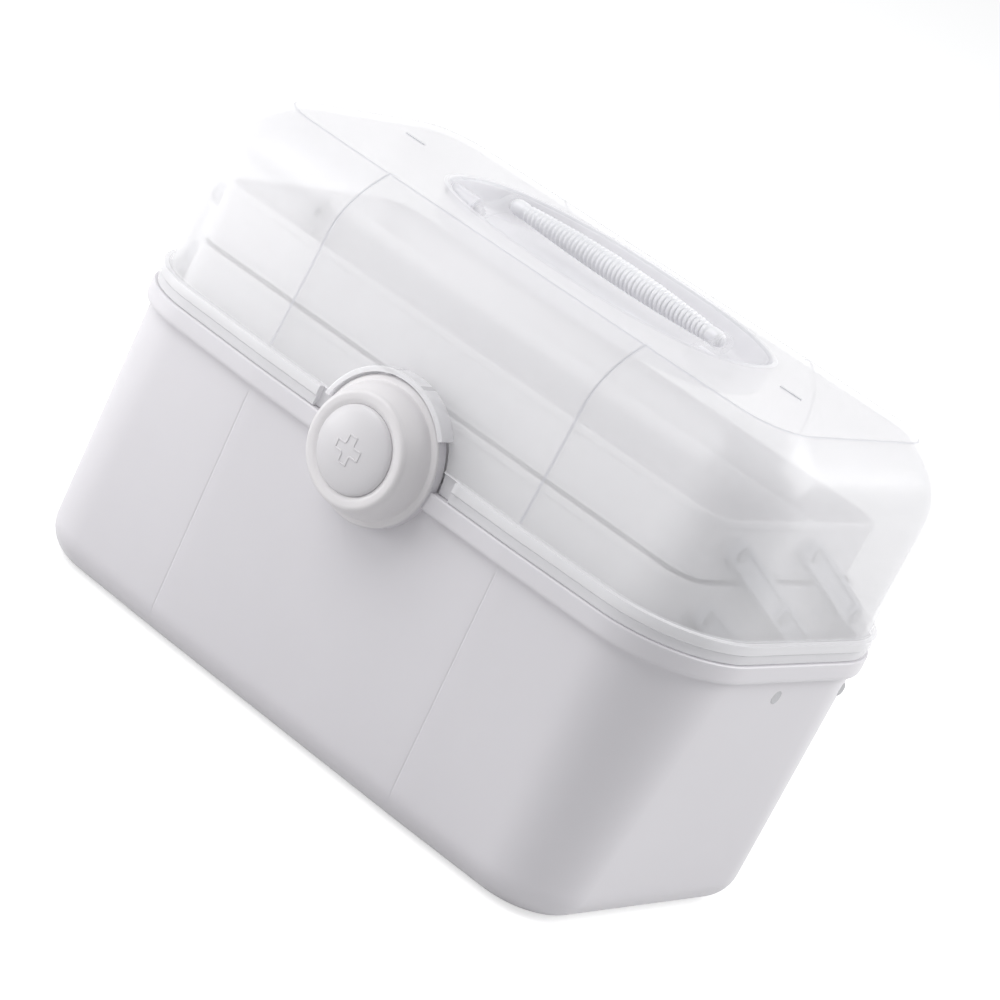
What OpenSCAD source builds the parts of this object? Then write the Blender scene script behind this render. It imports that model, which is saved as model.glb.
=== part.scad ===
// Three-tier household medicine box: a tapered tub, a clear lid with a sunk carrying
// handle, a round push latch, and two trays that rise on links as the lid swings back.
// Origin: centre of the footprint, on the surface that the box stands on. Front is -Y.

/* [Overall] */
// Length over the rim
rim_l = 320; // [300:1:350]
// Depth over the rim
rim_w = 182; // [176:1:205]
// Height of the parting line
parting_h = 125; // [120:1:140]
// Height of the lid above the parting line
lid_h = 89; // [86:1:100]
// Distance of the soft front creases from the middle
crease_x = 70; // [60:1:80]

/* [Tub] */
// Wall thickness of the tub
tub_t = 2.5; // [2:0.1:3]
// Thickness of the tub's floor
floor_t = 3; // [2:0.1:5]
// How much shorter each end is at the bottom than under the rim
tub_taper_x = 6; // [4:0.5:10]
// How much narrower each side is at the bottom than under the rim
tub_taper_y = 3; // [1:0.5:8]
// Radius of the rounded bottom edge
bottom_r = 15; // [11:0.5:18]
// Height of the rim flange
flange_h = 8; // [6:0.5:11]
// How far the rim flange stands out
flange_out = 3.2; // [2:0.1:4]
// Height of the sealing tongue above the parting line
tongue_h = 3; // [2:0.1:4]
// Thickness of the sealing tongue
tongue_t = 1.5; // [1.2:0.1:1.8]

/* [Lid] */
// Wall thickness of the lid
lid_t = 2.2; // [1.8:0.1:2.6]
// Height of the lid's rim band
band_h = 8.5; // [7:0.5:10]
// Running gap between lid and tub at the parting line
parting_gap = 0.5; // [0.4:0.1:1]
// Height of the roll between the walls and the flat top
roll_h = 34; // [28:1:40]
// How far the roll draws the front in
roll_y = 22; // [18:1:26]
// How far the roll draws the ends in
roll_x = 18; // [14:1:22]
// Corner radius of the flat top
top_r = 22; // [16:1:28]

/* [Handle] */
// Room between each end of the grip and the tip of the oval handle well
well_room = 20.5; // [18:0.5:26]
// Half width of the oval handle well
well_b = 46; // [42:1:48]
// Depth of the handle well
well_d = 12.5; // [11.5:0.5:15]
// Distance of the well's middle behind the box's middle
well_y = 5; // [2:1:7]
// Half length of the ribbed grip
grip_hl = 57.5; // [50:0.5:58]
// Distance of the folded grip behind the well's middle
grip_back = 6; // [2:0.5:8]
// Diameter of the grip in the middle
grip_d = 11; // [10:0.5:12]
// Diameter of the grip at its ends
grip_end_d = 7; // [6.5:0.5:9]
// Pitch of the grip's ribs
rib_pitch = 2.3; // [1.8:0.1:4]
// Depth of the grip's ribs
rib_d = 0.45; // [0.3:0.05:0.7]
// Length of the handle's arms between pivot and grip
arm_l = 20; // [18:0.5:21]
// Thickness of the handle's arms
arm_t = 3.5; // [3:0.5:4]
// Width of the handle's arms
arm_w = 6; // [5:0.2:6.6]
// Diameter of the eyes at the arms' pivots
arm_eye_d = 8; // [7:0.5:9]
// Diameter of the handle's pivot pins
handle_pin_d = 4; // [3:0.5:4.5]

/* [Latch] */
// Diameter of the latch housing at its foot
latch_d = 60; // [56:1:62]
// Diameter of the latch housing's front ring
latch_ring_d = 47; // [44:1:49]
// Height of the latch housing
latch_h = 15; // [13:0.5:18]
// Diameter of the push button
button_d = 36; // [32:0.5:38]
// Height of the button's dome
button_dome = 4.2; // [3:0.1:6]
// Travel of the push button
button_travel = 2.5; // [2:0.1:2.6]
// Gap round the push button
button_gap = 0.3; // [0.2:0.05:0.5]
// Diameter of the latch spring's wire
spring_wire = 1.2; // [0.9:0.1:1.4]
// Mean diameter of the latch spring
spring_d = 19; // [17:0.5:21]
// Turns of the latch spring
spring_turns = 4; // [3:1:5]
// Depth of the hook's pivot below the latch axis
hook_drop = 20; // [19:0.5:24]
// Height of the hook's tip above the latch axis
hook_rise = 17; // [16:0.5:19]
// Diameter of the hook's pivot pin
hook_pin_d = 3; // [2.5:0.1:3.5]

/* [Trays] */
// Gap from the rim to the ends of the trays
tray_end_gap = 20; // [18.5:0.5:26]
// Gap from the rim to the front of the trays
tray_front_gap = 16; // [15:0.5:20]
// Gap from the rim to the rear of the middle tray
tray_rear_gap = 29; // [27.5:0.5:40]
// How much shallower the top tray is, front to back
top_less = 9; // [5:0.5:20]
// Gap between the middle tray's rim and the top tray
tray_gap = 1.7; // [1:0.1:3]
// Depth of the top tray in front of its long divider
front_room = 75; // [50:1:90]
// Height of each tray
tray_h = 26; // [20:0.5:26.5]
// Wall thickness of the trays
tray_t = 2; // [1.6:0.1:2.5]
// Corner radius of the trays
tray_r = 14; // [8:1:20]
// Height of the trays' rims above their pivots
tray_rim = 10.5; // [9:0.5:12]
// Height of the middle tray's rim above the parting line
mid_rim_up = 24; // [22:0.5:28]
// Height by which the dividers stay below the rims
divider_drop = 1; // [0.5:0.5:6]
// Thickness of the dividers
divider_t = 1.6; // [1.2:0.1:2]

/* [Links] */
// Distance of the rear tub pins from the rim
pin_rear_gap = 33.1; // [32:0.1:40]
// How far the top tray's front sits behind the middle tray's
top_back = 0.5; // [0.5:0.1:3]
// Width of the links
link_w = 10; // [8:0.5:11]
// Thickness of the links
link_t = 4.5; // [3.5:0.1:4.6]
// Diameter of the link pins
pin_d = 4; // [3:0.1:4.5]
// Diameter of the pin heads
head_d = 6; // [5:0.1:7]
// Distance of the front pivots from the trays' front
pivot_in = 16; // [14:0.5:18]
// Distance of the rear pivots from the middle tray's rear
pivot_rear = 9; // [8:0.5:12]

/* [Lid hinge] */
// Distance of each hinge from the middle
hinge_x = 90; // [70:1:98]
// Distance of the hinge axis behind the rim
hinge_out = 6; // [5.8:0.1:7]
// Height of the hinge axis above the parting line
hinge_up = 2; // [1.5:0.1:3]
// Diameter of the hinge barrels
barrel_d = 10; // [9:0.5:10.5]
// Diameter of the hinge pins
hinge_pin_d = 4; // [3:0.5:5]
// Length of each lid knuckle
knuckle_l = 22; // [16:1:30]
// Width of each hinge lug on the tub
lug_w = 8; // [6:0.5:10]

/* [Fits] */
// Radial running clearance of pins
fit = 0.05; // [0.03:0.01:0.08]
// Side play between links and bosses
play = 0.2; // [0.1:0.05:0.3]

/* [Hidden] */

$fn = 48;
eps = 0.01;
steps = 7;                              // facets in each corner of a shell
white = [0.93, 0.93, 0.94];
frost = [0.82, 0.86, 0.9, 0.4];
tray_white = [0.96, 0.97, 0.98];
steel = [0.25, 0.25, 0.27];
warm = [0.86, 0.85, 0.83];

// Heights and half sizes of the shells
flange_z = parting_h - flange_h;
wall_x = rim_l / 2 - flange_out;
wall_y = rim_w / 2 - flange_out;
foot_x = wall_x - tub_taper_x;
foot_y = wall_y - tub_taper_y;
box_h = parting_h + lid_h;
corner_x = 44;
corner_y = 50;
foot_corner = 32;
fall = 2;                               // set-back of the side panels at the corners
lid_z = parting_h + parting_gap;
band_z = lid_z + band_h;
roll_z = box_h - roll_h;
lid_x = wall_x;
lid_y = wall_y - 0.3;
lid_top_x = lid_x - roll_x - 0.5;
lid_top_y = lid_y - roll_y - 3;
tongue_gap = 0.6;

// One ring of a shell: half length, half width, set-back, corner x, corner y, height
function quarter(cx, cy, rx, ry, a0) =
    [for (i = [0:steps]) let (a = a0 + 90 * i / steps) [cx + rx * cos(a), cy + ry * sin(a)]];
function outline(r) =
    let (cx = r[0] - r[3], cy = r[1] - r[2] - r[4])
    concat(quarter(cx, cy, r[3], r[4], 0), [[crease_x, r[1]], [-crease_x, r[1]]],
           quarter(-cx, cy, r[3], r[4], 90), quarter(-cx, -cy, r[3], r[4], 180),
           [[-crease_x, -r[1]], [crease_x, -r[1]]], quarter(cx, -cy, r[3], r[4], 270));
function ring(r) = [for (p = outline(r)) [p[0], p[1], r[5]]];
function inset(r, t, z) = [r[0] - t, r[1] - t, r[2], r[3] - t, r[4] - t, z];
function mix(a, b, k) = [for (i = [0:5]) a[i] + (b[i] - a[i]) * k];

// A closed shell through a list of rings
module skin(rings) {
    n = len(outline(rings[0]));
    m = len(rings);
    pts = [for (r = rings) each ring(r)];
    sides = [for (j = [0:m - 2]) for (i = [0:n - 1])
        let (a = j * n + i, b = j * n + (i + 1) % n)
        each [[a, a + n, b + n], [a, b + n, b]]];
    lower = [[for (i = [0:n - 1]) i]];
    upper = [[for (i = [n - 1:-1:0]) (m - 1) * n + i]];
    polyhedron(points = pts, faces = concat(lower, sides, upper), convexity = 8);
}

// Rings of the tub
tub_top = [wall_x, wall_y, fall, corner_x - flange_out, corner_y - flange_out, flange_z];
tub_foot = [foot_x, foot_y, fall * 0.6, foot_corner, foot_corner, bottom_r];
function tub_at(z) = mix(tub_foot, tub_top, (z - bottom_r) / (flange_z - bottom_r));
function round_in(r, e, a, z0) = inset(r, e * (1 - cos(a)), z0 + e * (1 - sin(a)));
rim_ring = [rim_l / 2, rim_w / 2, fall, corner_x, corner_y, parting_h];
tub_outer = [
    for (a = [90, 67.5, 45, 22.5, 0]) round_in(tub_foot, bottom_r, a, 0),
    tub_at(flange_z - 1.5),
    inset(rim_ring, 0.8, flange_z),
    inset(rim_ring, 0, flange_z + 0.8),
    inset(rim_ring, 0, parting_h - 0.6),
    inset(rim_ring, 0.6, parting_h)];
tongue_in = flange_out + lid_t + tongue_gap;
in_r = bottom_r - tub_t;
tub_inner = [
    inset(rim_ring, tongue_in, parting_h),
    inset(rim_ring, tongue_in, parting_h + tongue_h),
    inset(rim_ring, tongue_in + tongue_t, parting_h + tongue_h),
    inset(rim_ring, tongue_in + tongue_t, parting_h),
    inset(tub_at(flange_z - 2), tub_t, flange_z - 2),
    for (a = [0, 30, 60, 90]) round_in(inset(tub_foot, tub_t, 0), in_r, a, floor_t)];

// Rings of the lid
band = [rim_l / 2 - 0.4, rim_w / 2 - 0.4, fall, corner_x, corner_y, lid_z];
lid_low = [lid_x, lid_y, fall, corner_x - flange_out, corner_y - flange_out, band_z + 1];
lid_high = [lid_x - 0.5, lid_y - 3, fall, corner_x - 9, corner_y - 12, roll_z];
lid_top = [lid_top_x, lid_top_y, 0.8, top_r, top_r, box_h];
roll_curve = 2.6;                       // fullness of the roll
function roll(k, t) =
    let (a = inset(lid_high, t, 0), b = inset(lid_top, t, 0), r = mix(a, b, pow(k, roll_curve)))
    [r[0], r[1], r[2], r[3], r[4], roll_z + (roll_h - t) * k];
lid_outer = [
    inset(band, 0.6, lid_z), inset(band, 0, lid_z + 0.6), inset(band, 0, band_z - 0.6),
    inset(band, 0.6, band_z), lid_low, for (k = [0:0.2:1]) roll(k, 0)];
lid_inner = [
    for (k = [1:-0.25:0]) roll(k, lid_t),
    inset(lid_low, lid_t, band_z),
    inset(band, flange_out + lid_t - 0.4, lid_z)];

// Lid hinge
hinge_y = rim_w / 2 + hinge_out;
hinge_z = parting_h + hinge_up;
lug_gap = 0.3;
root = fall + 2;                        // how deep lugs and knuckles are rooted in the rim
lug_off = knuckle_l / 2 + lug_gap + lug_w / 2;

// Latch, with its axis square to the front
latch_z = parting_h + 1;
latch_y = -(rim_w / 2 + 1);             // front of the tab, where the housing sits
tab_r = latch_d / 2;
arch_gap = 1;
arch_r = tab_r + arch_gap;
arch_w = 3;
arch_in = 6.6;                          // how far the arc over the latch reaches into the lid's wall
arch_out = 3;                           // how far it stands out before the tab
tab_back = -(wall_y - 0.5);
stem_r = 5.5;
stem_gap = 0.5;
cup_floor = latch_h - 2.5;
hook_t = 2;
hook_half = 10;
hook_barrel = 3;
hook_gap = 0.3;
stem_tip = -(wall_y - tub_t - 0.9);
hook_front = stem_tip + hook_gap;
hook_z = latch_z - hook_drop;
hook_y = hook_front + hook_t + 0.5;
hook_top = latch_z + hook_rise;
lip_h = 2.4;                            // height of the hook's lip
catch_z = hook_top - lip_h - 0.1;
catch_back = hook_front - 0.6;
ear_t = 3;
ear_d = 8;
hook_span = hook_half + hook_gap + ear_t;
pocket_in = 12;                         // depth of the hook's pocket in the tub's wall

// Trays and their links
tray_x = rim_l / 2 - tray_end_gap;
tray_front = -(rim_w / 2 - tray_front_gap);
boss_h = 1.1;
boss_r = 4.5;
head_t = 1;
link_x = tray_x + boss_h + play;
mid_w = rim_w - tray_front_gap - tray_rear_gap;
top_w = mid_w - top_less;
pivot_pitch = (mid_w - pivot_in - pivot_rear) / 2;
mid_rim = parting_h + mid_rim_up;
mid_z = mid_rim - tray_rim;
mid_y = tray_front + pivot_in;
up_dy = pivot_pitch - top_back;
up_dz = tray_h + tray_gap;
link_angle = atan2(up_dz, up_dy);       // slope of the links with the box shut
upper_link = norm([up_dy, up_dz]);
tub_pin_y = rim_w / 2 - pin_rear_gap - pivot_pitch;
low_dy = tub_pin_y - mid_y;
lower_link = low_dy / cos(link_angle);
low_dz = lower_link * sin(link_angle);
tub_pin_z = mid_z - low_dz;
top_y = mid_y + pivot_pitch - up_dy;
top_z = mid_z + up_dz;
top_rim = top_z + tray_rim;
top_front = top_y - pivot_in;
divide_y = top_front + front_room;      // the long divider of the top tray
step_h = 3.5;                           // height of the step inside each tray's foot
step_in = 1.5;
lip_in = 0.7;
slot_t = divider_t + 0.4;

// Handle
arm_x = grip_hl + 0.3;
stub_r = 2.45;                          // round stubs that seat the grip in its arms
well_a = grip_hl + well_room;
pivot_z = box_h - 6.5;
grip_z = box_h - 1;
reach = sqrt(pow(arm_l, 2) - pow(grip_z - pivot_z, 2));
grip_y = well_y + grip_back;
pivot_y = grip_y - reach;
well_n = 2.4;                           // squareness of the oval, 2 is an ellipse
function well_x(y) = well_a * pow(1 - pow(abs(y - well_y) / well_b, well_n), 1 / well_n);
function bow(c) = sign(c) * pow(abs(c), 2 / well_n);
function oval(a, b) = [for (i = [0:59]) [a * bow(cos(6 * i)), b * bow(sin(6 * i))]];

// X of the tub's outer end wall at y and z
function end_x(y, z) =
    let (r = tub_at(z), s = abs(y) - (r[1] - r[2] - r[4]))
    s <= 0 ? r[0] : r[0] - r[3] * (1 - sqrt(1 - pow(s / r[4], 2)));

module along_x(x, y, z) { translate([x, y, z]) rotate([0, 90, 0]) children(); }
module out_front(z) { translate([0, latch_y, z]) rotate([90, 0, 0]) children(); }
module both_ends() { children(); mirror([1, 0, 0]) children(); }

module hinge_at(x, l, r) { along_x(x - l / 2, hinge_y, hinge_z) cylinder(h = l, r = r); }

module tub_pin_bosses() {
    both_ends() for (y = [tub_pin_y, tub_pin_y + pivot_pitch]) {
        a = link_x + link_t + play;
        along_x(a, y, tub_pin_z)
            cylinder(h = end_x(y, tub_pin_z) - tub_t * 0.5 - a, r = link_w / 2 - 0.5);
    }
}

module hook_ears() {
    for (s = [-1, 1]) {
        x = s * (hook_half + hook_gap + ear_t / 2);
        wall = -(wall_y - tub_t + 0.8);
        translate([x - ear_t / 2, wall, hook_z - ear_d / 2])
            cube([ear_t, hook_y - wall, ear_d]);
        along_x(x - ear_t / 2, hook_y, hook_z) cylinder(h = ear_t, r = ear_d / 2);
    }
}

module base_tub() {
    color(white) difference() {
        union() {
            difference() {
                skin(concat(tub_outer, tub_inner));
                // room for the hook behind the latch
                translate([-hook_half - hook_gap, hook_front - 1.1, hook_z - 5])
                    cube([2 * (hook_half + hook_gap), pocket_in, parting_h + tongue_h - hook_z + 6]);
            }
            // round tab behind the latch housing
            translate([0, tab_back, latch_z]) rotate([90, 0, 0])
                cylinder(h = tab_back - latch_y, r = tab_r);
            tub_pin_bosses();
            hook_ears();
            // lugs of the lid hinges
            for (x = [-hinge_x, hinge_x]) for (s = [-1, 1]) {
                hinge_at(x + s * lug_off, lug_w, barrel_d / 2);
                translate([x + s * lug_off - lug_w / 2, rim_w / 2 - root, flange_z])
                    cube([lug_w, hinge_out + root, flange_h - 0.2]);
            }
        }
        // passage of the button's stem
        translate([0, tab_back + tub_t + 4, latch_z]) rotate([90, 0, 0])
            cylinder(h = tub_t + 20, r = stem_r + stem_gap);
        for (x = [-hinge_x, hinge_x])
            hinge_at(x, 2 * lug_off + lug_w + 2, hinge_pin_d / 2);
        along_x(-hook_span - 1, hook_y, hook_z)
            cylinder(h = 2 * hook_span + 2, r = hook_pin_d / 2);
        both_ends() for (y = [tub_pin_y, tub_pin_y + pivot_pitch]) {
            along_x(tray_x, y, tub_pin_z) cylinder(h = 30, r = pin_d / 2);
            along_x(end_x(y, tub_pin_z) - head_t, y, tub_pin_z) cylinder(h = 10, r = head_d / 2);
        }
    }
}

module well_pan(grow, z0, z1) {
    translate([0, well_y, z0]) linear_extrude(z1 - z0)
        polygon(oval(well_a + grow, well_b + grow));
}

module lid_shell() {
    color(frost) difference() {
        union() {
            difference() {
                union() {
                    skin(concat(lid_inner, lid_outer));
                    well_pan(lid_t, box_h - well_d - lid_t, box_h - lid_t / 2);
                    // raised arc over the latch
                    intersection() {
                        out_front(latch_z) translate([0, 0, -arch_in])
                            cylinder(h = arch_in + arch_out, r = arch_r + arch_w);
                        translate([-latch_d, -rim_w, band_z - 0.5]) cube([2 * latch_d, rim_w, latch_d]);
                    }
                }
                well_pan(0, box_h - well_d, box_h + 1);
                // notch over the latch's tab
                out_front(latch_z) translate([0, 0, -12]) cylinder(h = 30, r = arch_r);
                // rim cut away beside the latch
                translate([-arch_r - 7, -rim_w, lid_z - 1])
                    cube([2 * arch_r + 14, rim_w / 2 + lid_t + 6, band_h + 1]);
            }
            // catch behind the tab
            translate([-hook_half + 2, tab_back + 0.6, catch_z])
                cube([2 * hook_half - 4, catch_back - tab_back - 0.6, arch_r - 10]);
            // knuckles of the lid hinges
            for (x = [-hinge_x, hinge_x]) {
                hinge_at(x, knuckle_l, barrel_d / 2);
                translate([x - knuckle_l / 2, rim_w / 2 - root, hinge_z])
                    cube([knuckle_l, hinge_out + root, band_z - hinge_z - 1]);
            }
            // pivot bosses of the handle
            both_ends() along_x(arm_x + arm_t + play, pivot_y, pivot_z)
                cylinder(h = well_x(pivot_y) + lid_t / 2 - arm_x - arm_t - play, r = boss_r);
        }
        for (x = [-hinge_x, hinge_x])
            hinge_at(x, knuckle_l + 2, hinge_pin_d / 2 + fit);
        both_ends() along_x(arm_x, pivot_y, pivot_z)
            cylinder(h = well_x(pivot_y) + lid_t + 3 - arm_x, r = handle_pin_d / 2);
    }
}

module lid_hinge_pins() {
    color(steel) for (x = [-hinge_x, hinge_x]) hinge_at(x, 2 * lug_off + lug_w, hinge_pin_d / 2);
}

// Truncated dome with a ring groove and a bore for the button
module latch_housing() {
    r0 = latch_d / 2;
    r1 = latch_ring_d / 2;
    bore = button_d / 2 + button_gap;
    lip = (r1 - bore) / 2;
    color(white) out_front(latch_z) rotate_extrude($fn = 96) polygon([
        [stem_r + stem_gap, 0], [r0, 0], [r0, 0.8], [r0 - 0.6, 1.4], [r0 - 2.2, 1.6],
        [r0 - 2.8, 4], [r0 - 3.6, 7], [r0 - 4.8, 10], [r1 + 0.6, latch_h - 2.2],
        [r1, latch_h - 0.8], [r1 - 0.8, latch_h], [bore + lip + 0.6, latch_h],
        [bore + lip, latch_h - 0.7], [bore + 1, latch_h - 0.7], [bore, latch_h - 1.6],
        [bore, 1.6], [stem_r + stem_gap, 1.6]]);
}

// Domed cap with a skirt and a stem that reaches the hook
module latch_button() {
    r = button_d / 2;
    crown = latch_h + button_dome;
    back = -(stem_tip - latch_y);
    color(white) out_front(latch_z) rotate_extrude($fn = 96) polygon(concat(
        [[0, back], [2, back], [2, back + 2.5], [stem_r, back + 5], [stem_r, cup_floor],
         [r - 2, cup_floor], [r - 2, 1.8 + button_travel], [r, 1.8 + button_travel],
         [r, latch_h - 0.2], [r - 0.5, latch_h + 0.3]],
        [for (k = [1:8]) let (a = k / 8) [(r - 0.5) * cos(90 * a),
            latch_h + 0.3 + (button_dome - 0.3) * sin(90 * a)]]));
}

// One unbroken coil between the housing's floor and the button's cup
module latch_spring() {
    sides = 6;
    rings_n = spring_turns * 14;
    low = 1.6 + spring_wire / 2 + 0.05;
    high = cup_floor - spring_wire / 2 - 0.05;
    pts = [for (i = [0:rings_n]) let (a = 360 * spring_turns * i / rings_n,
            z = low + (high - low) * i / rings_n)
        for (j = [0:sides - 1]) let (b = 360 * j / sides,
            q = spring_d / 2 + spring_wire / 2 * cos(b))
            [q * cos(a), q * sin(a), z + spring_wire / 2 * sin(b)]];
    walls = [for (i = [0:rings_n - 1]) for (j = [0:sides - 1])
        let (a = i * sides + j, b = i * sides + (j + 1) % sides)
        each [[a, b, b + sides], [a, b + sides, a + sides]]];
    ends = [[for (j = [sides - 1:-1:0]) j], [for (j = [0:sides - 1]) rings_n * sides + j]];
    color(steel) out_front(latch_z) polyhedron(points = pts, faces = concat(walls, ends), convexity = 10);
}

module latch_hook() {
    color(white) difference() {
        union() {
            translate([-hook_half, hook_front, hook_z])
                cube([2 * hook_half, hook_t, hook_top - hook_z]);
            translate([-hook_half, hook_front - 0.001, hook_top - lip_h])
                cube([2 * hook_half, hook_t + 1.5, lip_h]);
            along_x(-hook_half, hook_y, hook_z) cylinder(h = 2 * hook_half, r = hook_barrel);
        }
        along_x(-hook_half - 1, hook_y, hook_z)
            cylinder(h = 2 * hook_half + 2, r = hook_pin_d / 2 + fit);
    }
}

module hook_pin() {
    color(steel) along_x(-hook_span, hook_y, hook_z) cylinder(h = 2 * hook_span, r = hook_pin_d / 2);
}

module handle_arms() {
    slope = atan2(grip_z - pivot_z, reach);
    color(warm) both_ends() difference() {
        translate([arm_x, pivot_y, pivot_z]) rotate([slope, 0, 0]) union() {
            rotate([0, 90, 0]) cylinder(h = arm_t, r = arm_eye_d / 2);
            translate([0, 0, -arm_w / 2]) cube([arm_t, arm_l, arm_w]);
            translate([0, arm_l, 0]) rotate([0, 90, 0]) cylinder(h = arm_t, r = grip_end_d / 2 + 0.6);
        }
        along_x(arm_x - 1, pivot_y, pivot_z)
            cylinder(h = arm_t + 2, r = handle_pin_d / 2 + fit);
        along_x(arm_x - 1, grip_y, grip_z) cylinder(h = arm_t / 2 + 1, r = stub_r + fit);
    }
}

// Spindle grip with turned ribs and smooth rounded ends
module handle_grip() {
    ribbed = grip_hl - 6;
    count = floor(2 * ribbed / rib_pitch);
    start = -count * rib_pitch / 2;
    function swell(x) = grip_end_d / 2 + (grip_d - grip_end_d) / 2 * (1 - pow(x / ribbed, 2));
    color(warm) along_x(0, grip_y, grip_z) rotate_extrude($fn = 32) rotate(0) polygon(concat(
        [[0, -grip_hl - arm_t / 2], [stub_r, -grip_hl - arm_t / 2], [stub_r, -grip_hl - 0.3],
         [grip_end_d / 2 - 1, -grip_hl], [grip_end_d / 2, -grip_hl + 1.2], [grip_end_d / 2, start - 0.6]],
        [for (i = [0:count - 1]) let (x = start + i * rib_pitch, r = swell(x + rib_pitch / 2))
            each [[r - rib_d, x + 0.05], [r - rib_d, x + rib_pitch * 0.35],
                  [r, x + rib_pitch * 0.5], [r, x + rib_pitch * 0.85]]],
        [[grip_end_d / 2, 0.6 - start], [grip_end_d / 2, grip_hl - 1.2], [grip_end_d / 2 - 1, grip_hl],
         [stub_r, grip_hl + 0.3], [stub_r, grip_hl + arm_t / 2], [0, grip_hl + arm_t / 2]]));
}

module handle_pins() {
    color(steel) both_ends() along_x(arm_x + 0.4, pivot_y, pivot_z)
        cylinder(h = well_x(pivot_y) + lid_t - arm_x - 0.6, r = handle_pin_d / 2);
}

// Open tray with a rim lip, a stepped foot and pivot bosses at both ends
function tray_outline(x, y0, y1, r, k) =
    [for (c = [[x - r, y1 - r, 0], [r - x, y1 - r, 90], [r - x, y0 + r, 180], [x - r, y0 + r, 270]])
        for (i = [0:5]) [c[0] + (r - k) * cos(c[2] + 18 * i), c[1] + (r - k) * sin(c[2] + 18 * i)]];
module slab(y0, w, k, z0, z1) {
    translate([0, 0, z0]) linear_extrude(z1 - z0) polygon(tray_outline(tray_x, y0, y0 + w, tray_r, k));
}
module tray(y0, w, rim, pivots, pivot_h) {
    difference() {
        union() {
            slab(y0, w, lip_in, rim - tray_h + 2, rim);
            slab(y0, w, lip_in + 2, rim - tray_h, rim - tray_h + 2 + eps);
            slab(y0, w, 0, rim - 3, rim);
            both_ends() for (y = pivots)
                along_x(tray_x - tray_t, y, pivot_h) cylinder(h = tray_t + boss_h, r = boss_r);
        }
        slab(y0, w, tray_t + lip_in, rim - tray_h + step_h, rim + 1);
        slab(y0, w, tray_t + lip_in + step_in, rim - tray_h + tray_t, rim);
        both_ends() for (y = pivots)
            along_x(tray_x - tray_t - 3, y, pivot_h) cylinder(h = 12, r = pin_d / 2);
    }
}
module guide(x, y, z0, h) {
    for (s = [-1, 1]) translate([x - 1 + s * (1 + slot_t / 2), y, z0]) cube([2, 1.8, h]);
}

mid_pivots = [mid_y, mid_y + pivot_pitch, mid_y + 2 * pivot_pitch];
top_pivots = [top_y, top_y + pivot_pitch];
tray_deep = tray_h - tray_t;
cross_x = [-50, 50];

module middle_tray() {
    back = tray_front + mid_w - tray_t - lip_in;
    color(tray_white) {
        tray(tray_front, mid_w, mid_rim, mid_pivots, mid_z);
        // guides for the loose dividers
        for (x = cross_x) {
            guide(x, tray_front + tray_t + 0.2, mid_rim - tray_deep - eps, tray_deep - 2);
            guide(x, back - 1.3, mid_rim - tray_deep - eps, tray_deep - 2);
        }
    }
}

module top_tray() {
    color(tray_white) {
        tray(top_front, top_w, top_rim, top_pivots, top_z);
        both_ends() for (s = [-1, 1])
            translate([tray_x - tray_t - 2.2, divide_y - 1 + s * (1 + slot_t / 2), top_rim - tray_deep - eps])
                cube([1.8, 2, tray_deep - 2]);
    }
}

module top_divider() {
    half = tray_x - tray_t - lip_in - 0.2;
    foot = half - step_in;
    color(tray_white) translate([0, divide_y - divider_t / 2, top_rim - tray_h]) {
        translate([-half, 0, step_h]) cube([2 * half, divider_t, tray_h - step_h - divider_drop]);
        translate([-foot, 0, tray_t]) cube([2 * foot, divider_t, tray_h - tray_t - divider_drop - 1]);
    }
}

module middle_dividers() {
    front = tray_front + tray_t + lip_in + 0.2;
    span = mid_w - 2 * (tray_t + lip_in + 0.2);
    color(tray_white) for (x = cross_x) translate([x - divider_t / 2, front, mid_rim - tray_h]) {
        translate([0, 0, step_h]) cube([divider_t, span, tray_h - step_h - divider_drop]);
        translate([0, step_in, tray_t])
            cube([divider_t, span - 2 * step_in, tray_h - tray_t - divider_drop - 1]);
    }
}

// A flat link through pivots along its slope, from its rear pivot forward and up
module link(y, z, holes) {
    l = holes[len(holes) - 1];
    translate([link_x, y, z]) rotate([-link_angle, 0, 0]) difference() {
        union() {
            translate([0, -l, -link_w / 2]) cube([link_t, l, link_w]);
            for (p = [0, l]) translate([0, -p, 0]) rotate([0, 90, 0]) cylinder(h = link_t, r = link_w / 2);
        }
        for (p = holes) translate([-1, -p, 0]) rotate([0, 90, 0]) cylinder(h = link_t + 2, r = pin_d / 2 + fit);
        // moulded relief on the outer face
        for (i = [0:len(holes) - 2])
            translate([link_t - 0.8, -holes[i + 1] + link_w / 2 + 1, -link_w / 2 + 2])
                cube([2, holes[i + 1] - holes[i] - link_w - 2, link_w - 4]);
    }
}

module long_link_right() {
    color(white) link(tub_pin_y + pivot_pitch, tub_pin_z, [0, lower_link, lower_link + upper_link]);
}
module long_link_left() { mirror([1, 0, 0]) long_link_right(); }
module lower_link_right() { color(white) link(tub_pin_y, tub_pin_z, [0, lower_link]); }
module lower_link_left() { mirror([1, 0, 0]) lower_link_right(); }
module upper_link_right() {
    color(white) link(mid_y + 2 * pivot_pitch, mid_z, [0, upper_link]);
}
module upper_link_left() { mirror([1, 0, 0]) upper_link_right(); }

// A headed pin from x0, with its head from x1 outwards
module headed(x0, x1, y, z) {
    along_x(x0, y, z) cylinder(h = x1 - x0 + eps, r = pin_d / 2);
    along_x(x1, y, z) cylinder(h = head_t, r = head_d / 2);
}

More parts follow.
